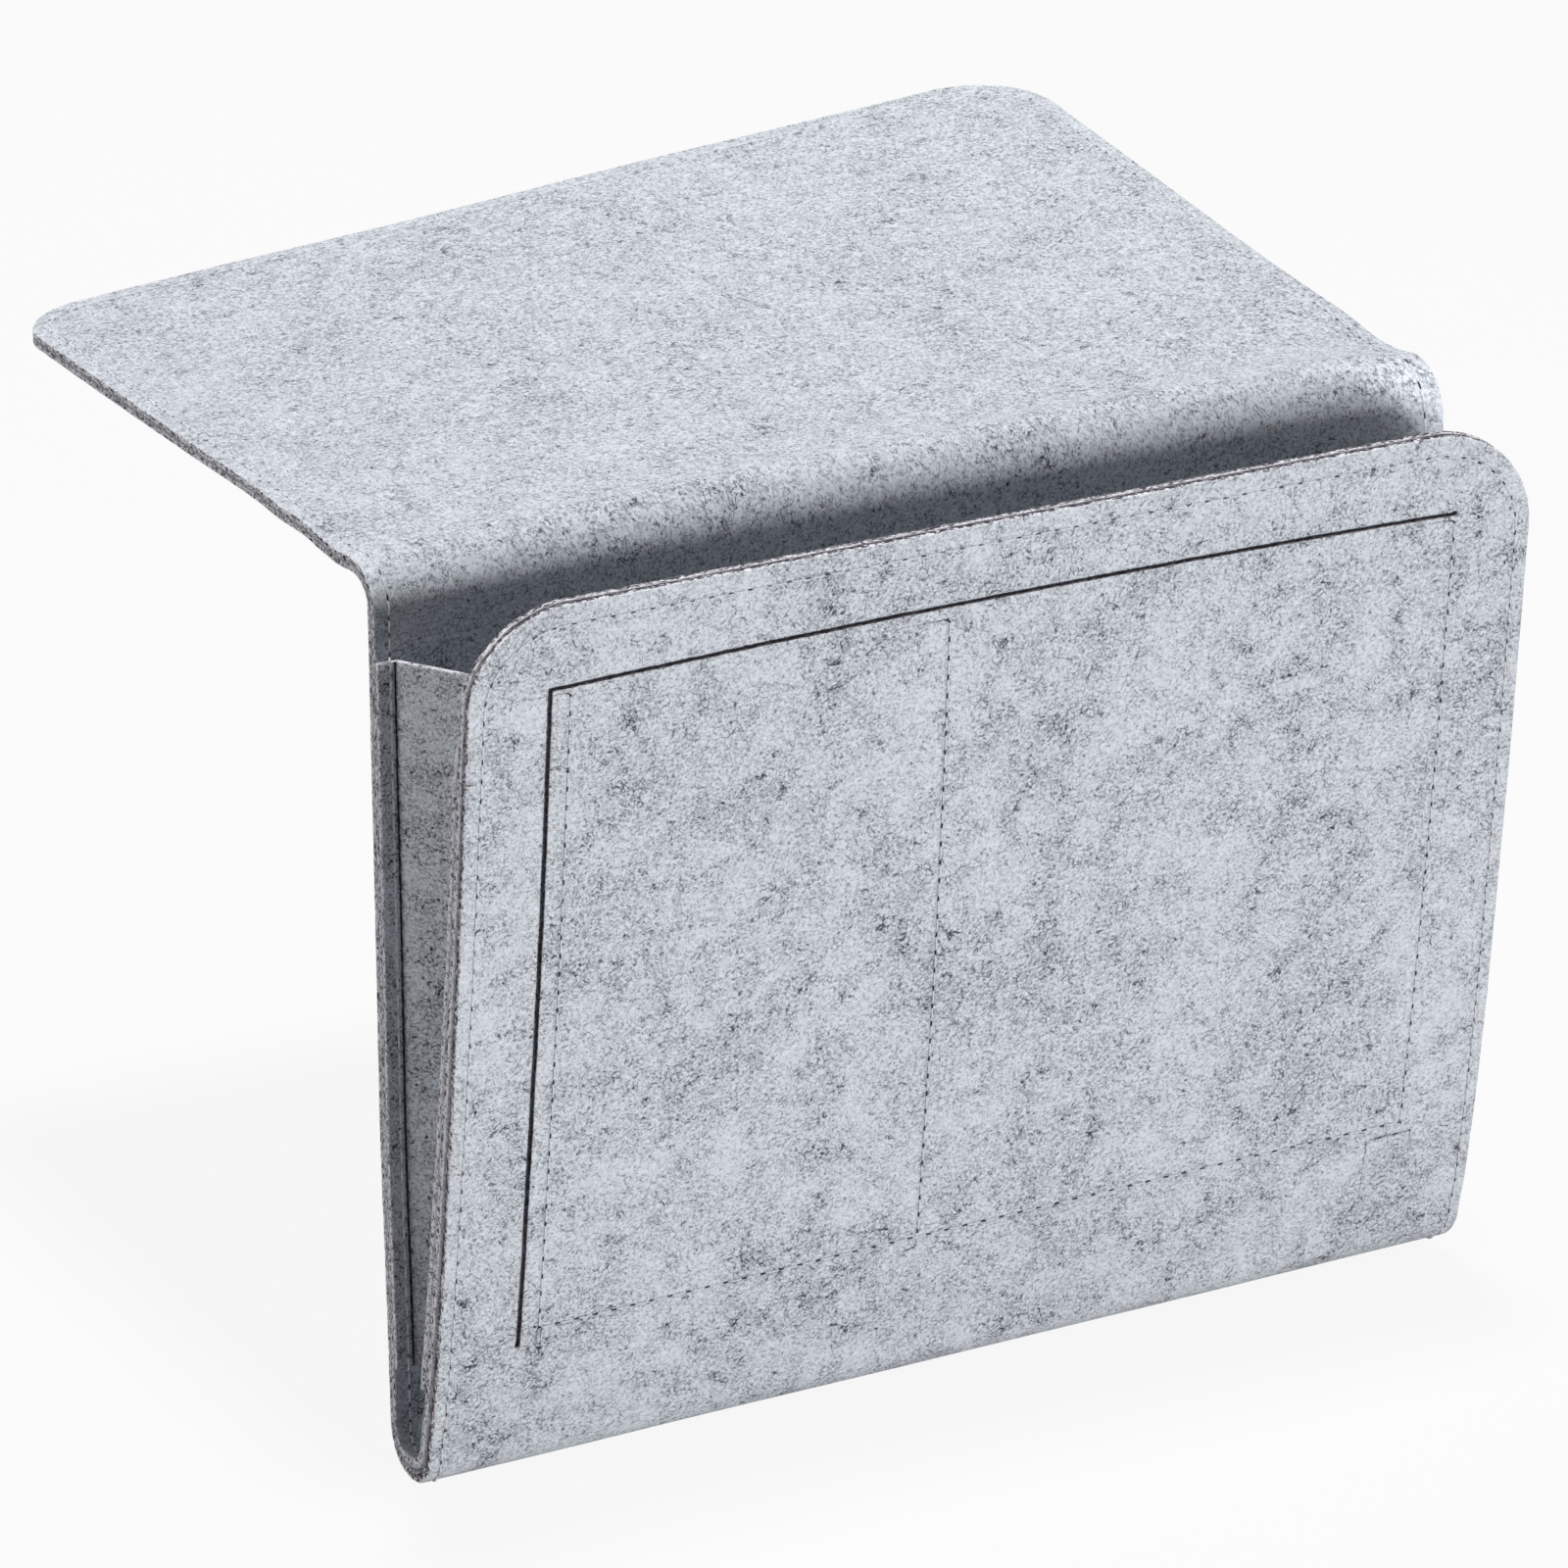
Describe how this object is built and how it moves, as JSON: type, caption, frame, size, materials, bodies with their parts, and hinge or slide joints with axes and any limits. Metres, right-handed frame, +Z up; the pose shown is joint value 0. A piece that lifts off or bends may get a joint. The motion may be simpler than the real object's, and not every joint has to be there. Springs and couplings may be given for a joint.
{
  "type": "bedside caddy",
  "caption": "Felt bedside caddy: a flap tucks under the mattress and carries a deep pocket with bellows sides and slit pockets in its front.",
  "frame": {"origin": "on the flap's underside, in the middle of its width, on the flat band that the bed's edge carries", "axes": "+X across the caddy's width, +Y from the pocket into the bed, +Z up"},
  "size_m": [0.32, 0.3053, 0.2772],
  "materials": {
    "felt": "light blue-grey melange felt with darker fibres",
    "gusset_felt": "thinner grey melange felt",
    "thread": "grey polyester sewing thread"
  },
  "bodies": {
    "flap": {"flap_upper_layer": "felt", "flap_lower_layer": "felt", "flap_seam": "thread"},
    "back": {"bend_upper_layer": "felt", "bend_lower_layer": "felt", "bend_seam_left": "thread", "bend_seam_right": "thread", "back_inner_layer": "felt", "back_rear_layer": "felt", "back_seam_left": "thread", "back_seam_right": "thread"},
    "front": {"fold_inner_layer": "felt", "fold_outer_layer": "felt", "fold_seam_left": "thread", "fold_seam_right": "thread", "front_backing_layer": "felt", "front_outer_layer": "felt", "front_seam": "thread", "pocket_seam_left": "thread", "pocket_seam_right": "thread", "pocket_divider_seam": "thread", "pocket_seam_bottom": "thread", "gusset_left": "gusset_felt", "gusset_right": "gusset_felt"}
  },
  "joints": [
    {"name": "flap_fold", "type": "hinge", "parent": "flap", "child": "back", "pos_m": [0, -0.04845, -0.00701], "axis": [1, 0, 0], "range_deg": [-90, 75], "deforming": ["bend_upper_layer", "bend_lower_layer", "bend_seam_left", "bend_seam_right"]},
    {"name": "pocket_open", "type": "hinge", "parent": "back", "child": "front", "pos_m": [0, -0.07245, -0.24701], "axis": [1, 0, 0], "range_deg": [-10, 2.5], "deforming": ["fold_inner_layer", "fold_outer_layer", "fold_seam_left", "fold_seam_right", "gusset_left", "gusset_right"]}
  ]
}
